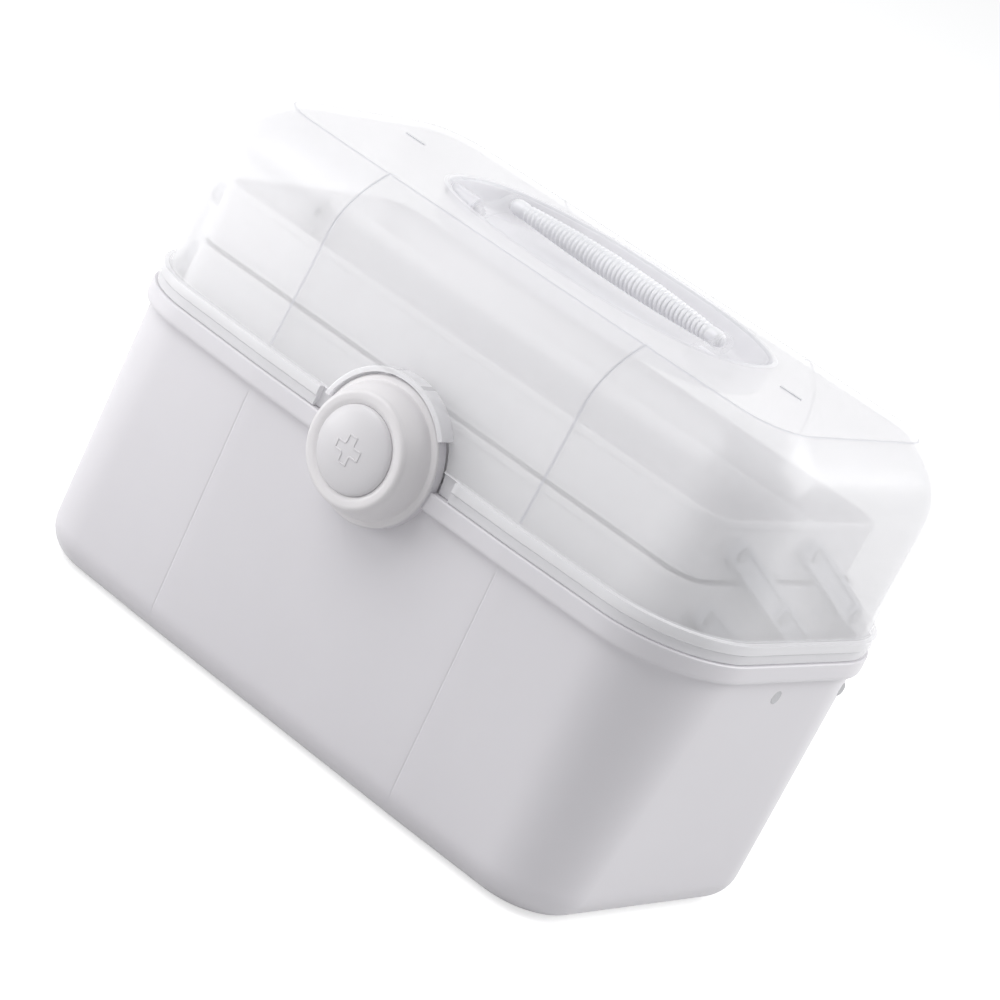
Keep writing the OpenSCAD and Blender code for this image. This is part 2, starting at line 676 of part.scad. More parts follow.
module tub_link_pins() {
    color(steel) both_ends() for (y = [tub_pin_y, tub_pin_y + pivot_pitch]) {
        headed(link_x - play, end_x(y, tub_pin_z) - head_t, y, tub_pin_z);
        along_x(link_x - play - head_t, y, tub_pin_z) cylinder(h = head_t, r = head_d / 2);
    }
}
module middle_link_pins() {
    color(steel) both_ends() for (y = mid_pivots) headed(tray_x - tray_t, link_x + link_t + play, y, mid_z);
}
module top_link_pins() {
    color(steel) both_ends() for (y = top_pivots) headed(tray_x - tray_t, link_x + link_t + play, y, top_z);
}

base_tub();
lid_shell();
lid_hinge_pins();
latch_housing();
latch_button();
latch_spring();
latch_hook();
hook_pin();
handle_arms();
handle_grip();
handle_pins();
middle_tray();
top_tray();
top_divider();
middle_dividers();
long_link_right();
long_link_left();
lower_link_right();
lower_link_left();
upper_link_right();
upper_link_left();
tub_link_pins();
middle_link_pins();
top_link_pins();
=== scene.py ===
import bpy
import bmesh
import math
from mathutils import Matrix, Quaternion, Vector


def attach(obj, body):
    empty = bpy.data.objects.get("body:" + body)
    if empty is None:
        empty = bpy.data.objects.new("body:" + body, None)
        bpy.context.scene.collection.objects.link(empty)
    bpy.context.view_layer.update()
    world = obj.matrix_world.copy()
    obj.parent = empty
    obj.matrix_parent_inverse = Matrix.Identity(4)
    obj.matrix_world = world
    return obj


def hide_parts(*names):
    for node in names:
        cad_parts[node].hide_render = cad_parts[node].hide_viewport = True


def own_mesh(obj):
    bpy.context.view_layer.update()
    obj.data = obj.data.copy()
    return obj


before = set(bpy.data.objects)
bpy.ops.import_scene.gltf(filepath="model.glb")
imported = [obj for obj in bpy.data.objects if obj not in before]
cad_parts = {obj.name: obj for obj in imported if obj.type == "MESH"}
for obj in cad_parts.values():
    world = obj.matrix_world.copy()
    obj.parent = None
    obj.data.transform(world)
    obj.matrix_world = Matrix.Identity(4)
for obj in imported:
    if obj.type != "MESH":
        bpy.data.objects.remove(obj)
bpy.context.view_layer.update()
mm = 0.001                              # sizes are in mm where no note says metres
print("frame loaded:", len(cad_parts), "nodes")


# camera and stage

camera = {
    "at": (773.57, -1283.59, 536.32),   # mm, found from the edges of the photograph
    "aim": (5.02, 0.0, 108.61),
    "roll": 26.28,                      # degrees, the picture leans to the right
    "lens": 136.8,
    "farthest": 100,                    # metres
}

stage = {
    "floorSize": 60.0,                  # metres
    "floorTone": 0.60,
    "floorLift": 0.62,                  # added where the camera looks, so the floor reads white
    "daylight": 0.50,
    "skyTint": (0.97, 0.98, 1.0),
}

# places and sizes in metres
lamps = {
    "lowLeft": {"at": (-0.616, -0.446, 0.07), "size": 0.4, "power": 2.15},
    "highFront": {"at": (-0.82, -1.05, 1.5), "size": 1.4, "power": 21.2},
    "farRight": {"at": (1.334, 1.399, 1.6), "size": 1.6, "power": 42.0},
}
lampAim = (0, 0, 0.10)                  # the middle of the box


def makeCamera():
    lens = bpy.data.cameras.new("viewCamera")
    lens.lens = camera["lens"]
    lens.clip_end = camera["farthest"]
    view = bpy.data.objects.new("viewCamera", lens)
    bpy.context.scene.collection.objects.link(view)
    eye = Vector(camera["at"]) * mm
    look = (Vector(camera["aim"]) * mm - eye).to_track_quat("-Z", "Y")
    lean = Quaternion((0, 0, 1), math.radians(camera["roll"]))
    view.matrix_world = Matrix.Translation(eye) @ (look @ lean).to_matrix().to_4x4()
    bpy.context.scene.camera = view


def seenDirectly(nodes, links):         # 1 on camera, mirror and see-through rays
    path = nodes.new("ShaderNodeLightPath")
    direct = path.outputs["Is Camera Ray"]
    for ray in ("Is Glossy Ray", "Is Transmission Ray"):
        either = nodes.new("ShaderNodeMath")
        either.operation = "MAXIMUM"
        links.new(direct, either.inputs[0])
        links.new(path.outputs[ray], either.inputs[1])
        direct = either.outputs[0]
    return direct


def emptyTree(owner):
    owner.use_nodes = True
    owner.node_tree.nodes.clear()
    return owner.node_tree.nodes, owner.node_tree.links


def makeWorld():
    world = bpy.data.worlds.new("paleRoom")
    bpy.context.scene.world = world
    nodes, links = emptyTree(world)
    light = nodes.new("ShaderNodeBackground")
    light.inputs["Color"].default_value = (*stage["skyTint"], 1)
    light.inputs["Strength"].default_value = stage["daylight"]
    white = nodes.new("ShaderNodeBackground")
    white.inputs["Color"].default_value = (1, 1, 1, 1)
    mix = nodes.new("ShaderNodeMixShader")
    out = nodes.new("ShaderNodeOutputWorld")
    links.new(seenDirectly(nodes, links), mix.inputs[0])
    links.new(light.outputs[0], mix.inputs[1])
    links.new(white.outputs[0], mix.inputs[2])
    links.new(mix.outputs[0], out.inputs[0])


def makeFloor():
    half, tone = stage["floorSize"] / 2, stage["floorTone"]
    corners = [(-half, -half, 0), (half, -half, 0), (half, half, 0), (-half, half, 0)]
    mesh = bpy.data.meshes.new("floor")
    mesh.from_pydata(corners, [], [(0, 1, 2, 3)])
    floor = bpy.data.objects.new("floor", mesh)
    bpy.context.scene.collection.objects.link(floor)
    paint = bpy.data.materials.new("paleFloor")
    nodes, links = emptyTree(paint)
    matt = nodes.new("ShaderNodeBsdfDiffuse")
    matt.inputs["Color"].default_value = (tone, tone, tone, 1)
    scale = nodes.new("ShaderNodeMath")
    scale.operation = "MULTIPLY"
    scale.inputs[1].default_value = stage["floorLift"]
    lift = nodes.new("ShaderNodeEmission")
    both = nodes.new("ShaderNodeAddShader")
    out = nodes.new("ShaderNodeOutputMaterial")
    links.new(seenDirectly(nodes, links), scale.inputs[0])
    links.new(scale.outputs[0], lift.inputs["Strength"])
    links.new(matt.outputs[0], both.inputs[0])
    links.new(lift.outputs[0], both.inputs[1])
    links.new(both.outputs[0], out.inputs[0])
    mesh.materials.append(paint)


def makeLamps():
    for name, lamp in lamps.items():
        data = bpy.data.lights.new(name, "AREA")
        data.size = lamp["size"]
        data.energy = lamp["power"]
        thing = bpy.data.objects.new(name, data)
        bpy.context.scene.collection.objects.link(thing)
        at = Vector(lamp["at"])
        turn = (Vector(lampAim) - at).to_track_quat("-Z", "Y").to_matrix().to_4x4()
        thing.matrix_world = Matrix.Translation(at) @ turn


makeCamera()
makeWorld()
makeFloor()
makeLamps()
bpy.context.scene.view_settings.view_transform = "Standard"
print("camera, floor and lamps set")


# finishes

# tones as the eye sees them, the noises "cloud" and "grain" finer with a higher number
plasticLooks = {
    "tubWhite": {"tone": (0.837, 0.828, 0.843), "dark": (0.824, 0.815, 0.830), "rough": (0.34, 0.46),
                 "grain": 900, "bump": 0.06, "cloud": 9, "scatter": 0.06},
    "latchWhite": {"tone": (0.868, 0.858, 0.864), "dark": (0.853, 0.843, 0.849), "rough": (0.30, 0.42),
                   "grain": 1100, "bump": 0.05, "cloud": 22, "scatter": 0.05},
    "buttonWhite": {"tone": (0.826, 0.818, 0.828), "dark": (0.812, 0.804, 0.814), "rough": (0.32, 0.44),
                    "grain": 1300, "bump": 0.05, "cloud": 26, "scatter": 0.05},
    "trayWhite": {"tone": (0.985, 0.980, 0.986), "dark": (0.970, 0.965, 0.972), "rough": (0.36, 0.50),
                  "grain": 800, "bump": 0.05, "cloud": 12, "alpha": 0.90},
    "linkWhite": {"tone": (0.815, 0.816, 0.835), "dark": (0.785, 0.788, 0.808), "rough": (0.34, 0.48),
                  "grain": 1200, "bump": 0.06, "cloud": 30, "scatter": 0.04},
    "handleMilk": {"tone": (0.895, 0.895, 0.905), "dark": (0.870, 0.871, 0.882), "rough": (0.20, 0.34),
                   "grain": 1500, "bump": 0.04, "cloud": 40, "scatter": 0.08},
    "lidFrost": {"tone": (0.978, 0.975, 0.982), "dark": (0.966, 0.963, 0.971), "rough": (0.20, 0.30),
                 "grain": 700, "bump": 0.006, "cloud": 7, "alpha": 0.40},
    "bandMilk": {"tone": (0.980, 0.977, 0.985), "dark": (0.966, 0.963, 0.972), "rough": (0.16, 0.26),
                 "grain": 900, "bump": 0.02, "cloud": 12, "alpha": 0.62},
    "wellMilk": {"tone": (0.958, 0.955, 0.968), "dark": (0.944, 0.941, 0.955), "rough": (0.16, 0.26),
                 "grain": 900, "bump": 0.008, "cloud": 14, "alpha": 0.52},
    # painted shade: a darker, denser grey for the rim's recessed lower strip, where shade falls
    "rimShadeGrey": {"tone": (0.890, 0.887, 0.897), "dark": (0.874, 0.871, 0.882), "rough": (0.20, 0.32),
                "grain": 900, "bump": 0.02, "cloud": 16, "alpha": 0.74},
    # painted shade: a darker, denser grey standing in for the dark look of turned edges and creases in the
    # clear lid
    "edgeShadeGrey": {"tone": (0.830, 0.830, 0.850), "dark": (0.800, 0.800, 0.822), "rough": (0.20, 0.32),
                "grain": 900, "bump": 0.02, "cloud": 20, "alpha": 0.62},
    "armClear": {"tone": (0.970, 0.968, 0.975), "dark": (0.950, 0.948, 0.957), "rough": (0.12, 0.22),
                 "grain": 1500, "bump": 0.03, "cloud": 40, "alpha": 0.12},
}

moulding = {
    "ior": 1.49,
    "scatterDeep": (0.004, 0.004, 0.0045),          # metres, for red, green and blue
    "cloudDetail": 3, "cloudSpan": (0.30, 0.70),
    "grainDetail": 2, "grainDeep": 0.0002,          # metres
}

steelLook = {
    "dark": (0.56, 0.56, 0.57), "light": (0.72, 0.72, 0.73), "metal": 0.9, "rough": (0.30, 0.48),
    "stretch": (60, 1800, 1800), "detail": 2,       # long along X, fine across
}


def linear(tone):
    return tuple(c / 12.92 if c <= 0.04045 else ((c + 0.055) / 1.055) ** 2.4 for c in tone)


def blankFinish(name):
    paint = bpy.data.materials.new(name)
    paint.use_nodes = True
    nodes, links = paint.node_tree.nodes, paint.node_tree.links
    return paint, nodes, links, nodes["Principled BSDF"]


def makeNoise(nodes, scale, detail):
    noise = nodes.new("ShaderNodeTexNoise")
    noise.inputs["Scale"].default_value = scale
    noise.inputs["Detail"].default_value = detail
    return noise


# one noise moves the colour between two tones and the roughness between two values
def toneAndGloss(nodes, links, noise, tones, span, rough):
    shader = nodes["Principled BSDF"]
    ramp = nodes.new("ShaderNodeValToRGB")
    for stop, tone, place in zip(ramp.color_ramp.elements, tones, span):
        stop.position = place
        stop.color = (*linear(tone), 1)
    wander = nodes.new("ShaderNodeMapRange")
    wander.inputs["To Min"].default_value = rough[0]
    wander.inputs["To Max"].default_value = rough[1]
    links.new(noise.outputs["Fac"], ramp.inputs["Fac"])
    links.new(ramp.outputs["Color"], shader.inputs["Base Color"])
    links.new(noise.outputs["Fac"], wander.inputs["Value"])
    links.new(wander.outputs["Result"], shader.inputs["Roughness"])


# satin moulding: cloudy tone, fine orange peel, roughness that wanders
def mouldedPlastic(name):
    look = plasticLooks[name]
    paint, nodes, links, shader = blankFinish(name)
    shader.inputs["IOR"].default_value = moulding["ior"]
    shader.inputs["Subsurface Weight"].default_value = look.get("scatter", 0.0)
    shader.inputs["Subsurface Radius"].default_value = moulding["scatterDeep"]
    shader.inputs["Alpha"].default_value = look.get("alpha", 1.0)
    where = nodes.new("ShaderNodeTexCoord")
    cloud = makeNoise(nodes, look["cloud"], moulding["cloudDetail"])
    grain = makeNoise(nodes, look["grain"], moulding["grainDetail"])
    bump = nodes.new("ShaderNodeBump")
    bump.inputs["Strength"].default_value = look["bump"]
    bump.inputs["Distance"].default_value = moulding["grainDeep"]
    for noise in (cloud, grain):
        links.new(where.outputs["Object"], noise.inputs["Vector"])
    toneAndGloss(nodes, links, cloud, (look["dark"], look["tone"]), moulding["cloudSpan"], look["rough"])
    links.new(grain.outputs["Fac"], bump.inputs["Height"])
    links.new(bump.outputs["Normal"], shader.inputs["Normal"])
    return paint


# drawn wire and pins: grey metal with lengthways scratches
def drawnSteel(name):
    paint, nodes, links, shader = blankFinish(name)
    shader.inputs["Metallic"].default_value = steelLook["metal"]
    where = nodes.new("ShaderNodeTexCoord")
    stretch = nodes.new("ShaderNodeMapping")
    stretch.inputs["Scale"].default_value = steelLook["stretch"]
    scratch = makeNoise(nodes, 1.0, steelLook["detail"])
    links.new(where.outputs["Object"], stretch.inputs["Vector"])
    links.new(stretch.outputs["Vector"], scratch.inputs["Vector"])
    toneAndGloss(nodes, links, scratch, (steelLook["dark"], steelLook["light"]), (0, 1), steelLook["rough"])
    return paint


finish = {name: mouldedPlastic(name) for name in plasticLooks}
finish["dullSteel"] = drawnSteel("dullSteel")
print("finishes mixed:", ", ".join(finish))


# mesh tools

sharpFrom = math.radians(32)            # edges bent more than this stay crisp
quarterTurn = math.radians(90)


def pointMm(x, y, z):
    return Vector((x, y, z)) * mm


def onCircle(radius, angle):
    return radius * math.cos(angle), radius * math.sin(angle)


def objectFrom(name, bm, place=None):
    if place:
        bm.transform(place)
    bmesh.ops.recalc_face_normals(bm, faces=bm.faces)
    if bm.calc_volume(signed=True) < 0:
        bmesh.ops.reverse_faces(bm, faces=bm.faces)
    mesh = bpy.data.meshes.new(name)
    bm.to_mesh(mesh)
    bm.free()
    thing = bpy.data.objects.new(name, mesh)
    bpy.context.scene.collection.objects.link(thing)
    return thing


# smooth shading, with creases kept where the surface turns sharply
def crispEdges(thing):
    bm = bmesh.new()
    bm.from_mesh(thing.data)
    for face in bm.faces:
        face.smooth = True
    for edge in bm.edges:
        edge.smooth = len(edge.link_faces) == 2 and edge.calc_face_angle(0) < sharpFrom
    bm.to_mesh(thing.data)
    bm.free()
    even = thing.modifiers.new("evenShade", "WEIGHTED_NORMAL")
    even.keep_sharp = True


def bridge(bm, low, high):
    for i in range(len(low)):
        j = (i + 1) % len(low)
        bm.faces.new((low[i], low[j], high[j], high[i]))


# skin through rings of equally many points, capped, or closed on itself
def loft(name, rings, closed=False):
    bm = bmesh.new()
    rows = [[bm.verts.new(p) for p in ring] for ring in rings]
    if closed:
        rows.append(rows[0])
    for low, high in zip(rows, rows[1:]):
        bridge(bm, low, high)
    if not closed:
        bm.faces.new(rows[0][::-1])
        bm.faces.new(rows[-1])
    return objectFrom(name, bm)


# a profile of (radius, height) turned round Z, then put in place
def lathe(name, profile, place, steps=96):
    bm = bmesh.new()
    turns = [2 * math.pi * i / steps for i in range(steps)]
    rows = []
    for radius, height in profile:
        if radius == 0:
            rows.append([bm.verts.new(pointMm(0, 0, height))])
        else:
            rows.append([bm.verts.new(pointMm(*onCircle(radius, a), height)) for a in turns])
    for low, high in zip(rows, rows[1:]):
        for i in range(steps):
            j = (i + 1) % steps
            corners = [low[i % len(low)], low[j % len(low)], high[j % len(high)], high[i % len(high)]]
            corners = list(dict.fromkeys(corners))
            if len(corners) > 2:
                bm.faces.new(corners)
    if len(rows[0]) > 1 and len(rows[-1]) > 1:
        bridge(bm, rows[-1], rows[0])   # a ring, open in the middle
    return objectFrom(name, bm, place)


def roundedBlock(name, low, high, soft=0.0, segments=3):
    bm = bmesh.new()
    bmesh.ops.create_cube(bm, size=1)
    size = [(high[i] - low[i]) * mm for i in range(3)]
    centre = [(high[i] + low[i]) / 2 * mm for i in range(3)]
    bm.transform(Matrix.Translation(centre) @ Matrix.Diagonal((*size, 1)))
    if soft:
        bmesh.ops.bevel(bm, geom=bm.edges[:], offset=soft * mm, segments=segments, profile=0.5,
                        affect="EDGES")
    return objectFrom(name, bm)


# round bar between two points, for cutters and bosses
def rod(name, start, end, radius, steps=48):
    a, b = Vector(start), Vector(end)
    long = (b - a).length
    turn = (b - a).to_track_quat("Z", "Y").to_matrix().to_4x4()
    profile = [(0, 0), (radius, 0), (radius, long), (0, long)]
    return lathe(name, profile, Matrix.Translation(a * mm) @ turn, steps)


def rodAcross(name, fromX, toX, y, z, radius):
    return rod(name, (fromX, y, z), (toX, y, z), radius)


# a flat closed line of points, moved by a distance to the right of the way it runs
def offsetLine(line, by):
    moved = []
    for i, point in enumerate(line):
        along = (line[(i + 1) % len(line)] - line[i - 1]).normalized()
        moved.append(point + Vector((along.y, -along.x)) * by)
    return moved


# booleans, applied one after the other, and the tools taken away
def joinAndCut(thing, joined=(), cut=()):
    tools = [(tool, "UNION") for tool in joined] + [(tool, "DIFFERENCE") for tool in cut]
    for tool, how in tools:
        step = thing.modifiers.new(how.lower(), "BOOLEAN")
        step.operation = how
        step.solver = "MANIFOLD"
        step.object = tool
    graph = bpy.context.evaluated_depsgraph_get()
    solid = bpy.data.meshes.new_from_object(thing.evaluated_get(graph))
    thing.modifiers.clear()
    thing.data = solid
    for tool, how in tools:
        bpy.data.objects.remove(tool, do_unlink=True)


def dress(thing, look, body, slot, *nodes):
    thing.data.materials.clear()
    thing.data.materials.append(finish[look])
    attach(thing, body)
    if nodes:
        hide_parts(*nodes)


# gives some faces another finish: pick(middle, normal) names it or returns None
def zoneFinish(thing, pick):
    mesh = thing.data
    slots = {}
    for face in mesh.polygons:
        look = pick(face.center / mm, face.normal)
        if look:
            if look not in slots:
                slots[look] = len(mesh.materials)
                mesh.materials.append(finish[look])
            face.material_index = slots[look]


# the shells' outline, in mm

box = {
    "rimLong": 320, "rimDeep": 182, "parting": 125, "lidHigh": 89,
    "crease": 70, "creaseSoft": 0.7,    # the middle panel ends there
    "fall": 2,                          # the side panels fall back by this at the corners
    "flangeHigh": 8, "flangeOut": 3.2, "cornerX": 44, "cornerY": 50,
}
top = box["parting"] + box["lidHigh"]
wallX = box["rimLong"] / 2 - box["flangeOut"]
wallY = box["rimDeep"] / 2 - box["flangeOut"]
cornerSteps, endSteps, panelSteps, frontSteps = 14, 4, 5, 14


def ringOf(halfLong, halfDeep, fall, cornerX, cornerY, z):
    return [halfLong, halfDeep, fall, cornerX, cornerY, z]


def inset(ring, by, z):
    return [ring[0] - by, ring[1] - by, ring[2], ring[3] - by, ring[4] - by, z]


def between(a, b, share):
    return [p + (q - p) * share for p, q in zip(a, b)]


# from the middle of the right end round the corner to the middle of the rear
def quadrant(ring, dip):
    halfLong, halfDeep, fall, rx, ry, z = ring
    cx, cy = halfLong - rx, halfDeep - fall - ry
    crease, soft = box["crease"], box["creaseSoft"]
    line = [(halfLong, cy * i / endSteps) for i in range(endSteps + 1)]
    for i in range(1, cornerSteps + 1):
        a = quarterTurn * i / cornerSteps
        line.append((cx + rx * math.cos(a), cy + ry * math.sin(a)))
    for i in range(1, panelSteps + 1):
        x = cx + (crease + soft - cx) * i / panelSteps
        line.append((x, halfDeep - fall * (x - crease) / (cx - crease)))
    line.append((crease, halfDeep - dip))
    line.append((crease - soft, halfDeep))
    for i in range(1, frontSteps + 1):
        line.append(((crease - soft) * (1 - i / frontSteps), halfDeep))
    return line


def outlineOf(ring, dip=0.0):
    part = quadrant(ring, dip)
    rear = part + [(-x, y) for x, y in part[-2::-1]]
    whole = rear + [(x, -y) for x, y in rear[-2:0:-1]]
    return [pointMm(x, y, ring[5]) for x, y in whole]


# tub

tub = {
    "wall": 2.5, "floor": 3, "taperX": 6, "taperY": 3,
    "footRound": 15, "footCorner": 32, "footFall": 1.2, "footSteps": 12, "footStepsIn": 6,
    "creaseDip": 0.32, "rowsOut": (34, 50, 67, 84, 100, 112), "rowsIn": (96, 66, 36),
    "lip": ((1.1, 0), (0.35, 0.25), (0.05, 0.9), (0, 2)),       # inset, height over the flange's foot
    "rim": ((0, 1.1), (0.12, 0.5), (0.5, 0.1), (1.0, 0)),       # inset, depth under the parting line
    "tongueIn": 2.8, "tongueHigh": 3, "tongueWall": 1.5, "tongueSoft": (0.35, 0.4),
}
flangeZ = box["parting"] - box["flangeHigh"]
rimRing = ringOf(box["rimLong"] / 2, box["rimDeep"] / 2, box["fall"], box["cornerX"], box["cornerY"],
                 box["parting"])
tubTop = inset(rimRing, box["flangeOut"], flangeZ)
tubFoot = ringOf(wallX - tub["taperX"], wallY - tub["taperY"], tub["footFall"], tub["footCorner"],
                 tub["footCorner"], tub["footRound"])
tabBack = -(wallY - 0.5)                # a little inside the front wall

latch = {
    "z": box["parting"] + 1, "front": -(box["rimDeep"] / 2 + 1), "footD": 60, "ringD": 47, "high": 15,
    "buttonD": 36, "dome": 3.6, "travel": 2.5, "gap": 0.3, "stem": 5.5, "stemGap": 0.5,
    "floor": 1.6, "underButton": 2.5, "tabSoft": 0.5, "boreFrom": -70, "boreTo": -96,
}
hook = {
    "half": 10, "gap": 0.3, "t": 2, "tipIn": 0.9, "boreWall": 0.5, "z": latch["z"] - 20, "pin": 3,
    "earT": 3, "earD": 8, "earRoot": 0.8, "boreHalf": 40,
    "roomFront": 1.1, "roomBack": 10.9, "roomDown": 5, "roomUp": 4.5,   # pocket it swings in
}
hook["tip"] = -(wallY - tub["wall"] - hook["tipIn"])
hook["front"] = hook["tip"] + hook["gap"]
hook["y"] = hook["front"] + hook["t"] + hook["boreWall"]

tubPins = {
    "y": (1.9, 57.9), "z": 108.105, "x": 146.0, "r": 4.5, "pin": 4, "headD": 6, "headT": 1,
    "boreFrom": 140, "boreTo": 165,
}
hinge = {
    "x": 90, "y": box["rimDeep"] / 2 + 6, "z": box["parting"] + 2, "barrel": 10, "pin": 4, "play": 0.05,
    "knuckle": 22, "gap": 0.3, "lug": 8, "lugDown": 0.2, "root": 4, "boreOver": 5,
}
hinge["rootY"] = box["rimDeep"] / 2 - hinge["root"]
hinge["lugOff"] = hinge["knuckle"] / 2 + hinge["gap"] + hinge["lug"] / 2


def tubAt(z):
    share = (z - tub["footRound"]) / (flangeZ - tub["footRound"])
    return between(tubFoot, tubTop, share)[:5] + [z]


def roundFoot(ring, radius, angle, z):
    return inset(ring, radius * (1 - math.cos(angle)), z + radius * (1 - math.sin(angle)))


def endWallX(y, z):
    ring = tubAt(z)
    past = abs(y) - (ring[1] - ring[2] - ring[4])
    return ring[0] if past <= 0 else ring[0] - ring[3] * (1 - math.sqrt(1 - (past / ring[4]) ** 2))


def tubRings():
    dip, parting = tub["creaseDip"], box["parting"]
    radius, steps, stepsIn = tub["footRound"], tub["footSteps"], tub["footStepsIn"]
    outer = [(roundFoot(tubFoot, radius, quarterTurn * (1 - i / steps), 0), dip * i / steps)
             for i in range(steps + 1)]
    outer += [(tubAt(z), dip) for z in tub["rowsOut"]]
    outer += [(tubAt(flangeZ - 1.6), dip * 0.6), (inset(tubTop, -0.25, flangeZ - 0.6), 0.1),
              (inset(tubTop, -1.0, flangeZ - 0.1), 0)]
    outer += [(inset(rimRing, by, flangeZ + up), 0) for by, up in tub["lip"]]
    outer += [(inset(rimRing, by, parting - down), 0) for by, down in tub["rim"]]

    wide, high = tub["tongueWall"], tub["tongueHigh"]
    soft, softDown = tub["tongueSoft"]
    tongue = [(0, 0), (0, high - softDown), (soft, high), (wide - soft, high), (wide, high - softDown),
              (wide, 0)]
    tongueAt = box["flangeOut"] + tub["tongueIn"]
    inner = [inset(rimRing, tongueAt + by, parting + up) for by, up in tongue]
    inner += [inset(tubAt(z), tub["wall"], z) for z in (flangeZ - 2, *tub["rowsIn"])]
    footIn = inset(tubFoot, tub["wall"], 0)
    inner += [roundFoot(footIn, radius - tub["wall"], quarterTurn * i / stepsIn, tub["floor"])
              for i in range(stepsIn + 1)]
    return [outlineOf(ring, d) for ring, d in outer] + [outlineOf(ring) for ring in inner]


# puts a turned piece on the latch's axis, its foot at y and its head to the front
def onLatchAxis(y):
    return Matrix.Translation(pointMm(0, y, latch["z"])) @ Matrix.Rotation(quarterTurn, 4, "X")


def latchTab():
    thick, r, soft = tabBack - latch["front"], latch["footD"] / 2, latch["tabSoft"]
    profile = [(0, 0), (r, 0), (r, thick - soft), (r - soft, thick), (0, thick)]
    return lathe("tab", profile, onLatchAxis(tabBack))


def pinBosses(side):
    z, pieces = tubPins["z"], []
    for y in tubPins["y"]:
        end = endWallX(y, z) - tub["wall"] / 2
        pieces.append(rodAcross("boss", side * tubPins["x"], side * end, y, z, tubPins["r"]))
    return pieces


def pinBores(side):
    z, out, pieces = tubPins["z"], side * tubPins["boreTo"], []
    for y in tubPins["y"]:
        seat = endWallX(y, z) - tubPins["headT"]
        pieces.append(rodAcross("pinBore", side * tubPins["boreFrom"], out, y, z, tubPins["pin"] / 2))
        pieces.append(rodAcross("headSeat", side * seat, out, y, z, tubPins["headD"] / 2))
    return pieces


def hookEar(side):
    x = side * (hook["half"] + hook["gap"] + hook["earT"] / 2)
    y, z, t, r = hook["y"], hook["z"], hook["earT"] / 2, hook["earD"] / 2
    wall = -(wallY - tub["wall"] + hook["earRoot"])
    return [roundedBlock("ear", (x - t, wall, z - r), (x + t, y, z + r)),
            rodAcross("earEye", x - t, x + t, y, z, r)]


def hingeLugs(side):
    half, y, z = hinge["lug"] / 2, hinge["y"], hinge["z"]
    pieces = []
    for s in (-1, 1):
        x = side * hinge["x"] + s * hinge["lugOff"]
        pieces.append(rodAcross("lugBarrel", x - half, x + half, y, z, hinge["barrel"] / 2))
        pieces.append(roundedBlock("lug", (x - half, hinge["rootY"], flangeZ),
                                   (x + half, y, box["parting"] - hinge["lugDown"])))
    return pieces


def hingeBore(side):
    x, reach = side * hinge["x"], hinge["lugOff"] + hinge["boreOver"]
    return rodAcross("hingeBore", x - reach, x + reach, hinge["y"], hinge["z"], hinge["pin"] / 2)


def latchOpenings():
    half, front = hook["half"] + hook["gap"], hook["front"]
    low = (-half, front - hook["roomFront"], hook["z"] - hook["roomDown"])
    high = (half, front + hook["roomBack"], box["parting"] + hook["roomUp"])
    return [roundedBlock("hookPocket", low, high),
            rod("stemBore", (0, latch["boreFrom"], latch["z"]), (0, latch["boreTo"], latch["z"]),
                latch["stem"] + latch["stemGap"]),
            rodAcross("hookBore", -hook["boreHalf"], hook["boreHalf"], hook["y"], hook["z"], hook["pin"] / 2)]


def makeTub():
    shell = loft("tubShell", tubRings())
    joined, cut = [latchTab()], []
    for side in (-1, 1):
        joined += pinBosses(side) + hookEar(side) + hingeLugs(side)
        cut += [hingeBore(side)] + pinBores(side)
    joinAndCut(shell, joined, cut + latchOpenings())
    crispEdges(shell)
    dress(shell, "tubWhite", "tub", "tub_white", "base_tub")


makeTub()
print("tub made")


# handle, its sizes first, because the lid's bosses follow them

handle = {
    "gripHalf": 57.5, "gripD": 11, "endD": 7, "plainEnd": 6, "pitch": 2.3, "rib": 0.38, "belly": 1.0,
    "arm": 20, "armT": 3.5, "armWide": 6, "armGap": 0.3, "armSoft": 0.5, "eyeD": 8, "eyeR": 2.05,
    "eyeDeep": 6, "eyeOver": 0.6, "seatR": 2.5, "pin": 4, "play": 0.2, "bossR": 4.5, "bossOver": 1.1,
    "boreOver": 5.2, "pivotZ": top - 6.5, "gripZ": top - 1, "gripY": 11,
}
handle["reach"] = math.sqrt(handle["arm"] ** 2 - (handle["gripZ"] - handle["pivotZ"]) ** 2)
handle["pivotY"] = handle["gripY"] - handle["reach"]
handle["armX"] = handle["gripHalf"] + handle["armGap"]


# lid

lid = {
    "wall": 2.2, "gap": 0.5, "bandIn": 0.4, "bandHigh": 8.5, "bandStep": 0.8, "stripHigh": 4.0, "drop": 0.42,
    "frontIn": 0.3, "leanX": 0.5, "leanY": 3, "rollCornerX": 35, "rollCornerY": 38,
    "rollHigh": 34, "rollX": 18, "rollY": 22, "fullness": 2.6, "rollSteps": 16, "rollStepsIn": 12,
    "topCorner": 22, "topFall": 0.8, "topEdge": 4, "creaseDip": 0.55, "creaseLow": 0.25,
}
well = {
    "a": 78, "b": 46, "y": 5, "square": 2.4, "deep": 12.5, "rim": 1.4, "bead": 0.35,
    "foot": 3.0, "footUnder": 3.8,      # rounding at the floor, outside and underneath
}
arch = {
    "gap": 1.0, "wide": 2.3, "sunk": 1.0, "back": 6.6, "out": 2.4, "soft": 0.6, "steps": 64,
    "start": 36, "end": 166,            # degrees, from the right round the top
}
notch = {"back": 12, "front": 18, "half": 38, "frontY": -130, "steps": 120}
catch = {"half": 8, "up": 14.5, "high": 18, "clear": 0.6, "soft": 0.3}
lidZ = box["parting"] + lid["gap"]
bandZ = lidZ + lid["bandHigh"]
rollZ = top - lid["rollHigh"]
lidWallY = wallY - lid["frontIn"]
archR = latch["footD"] / 2 + arch["gap"]
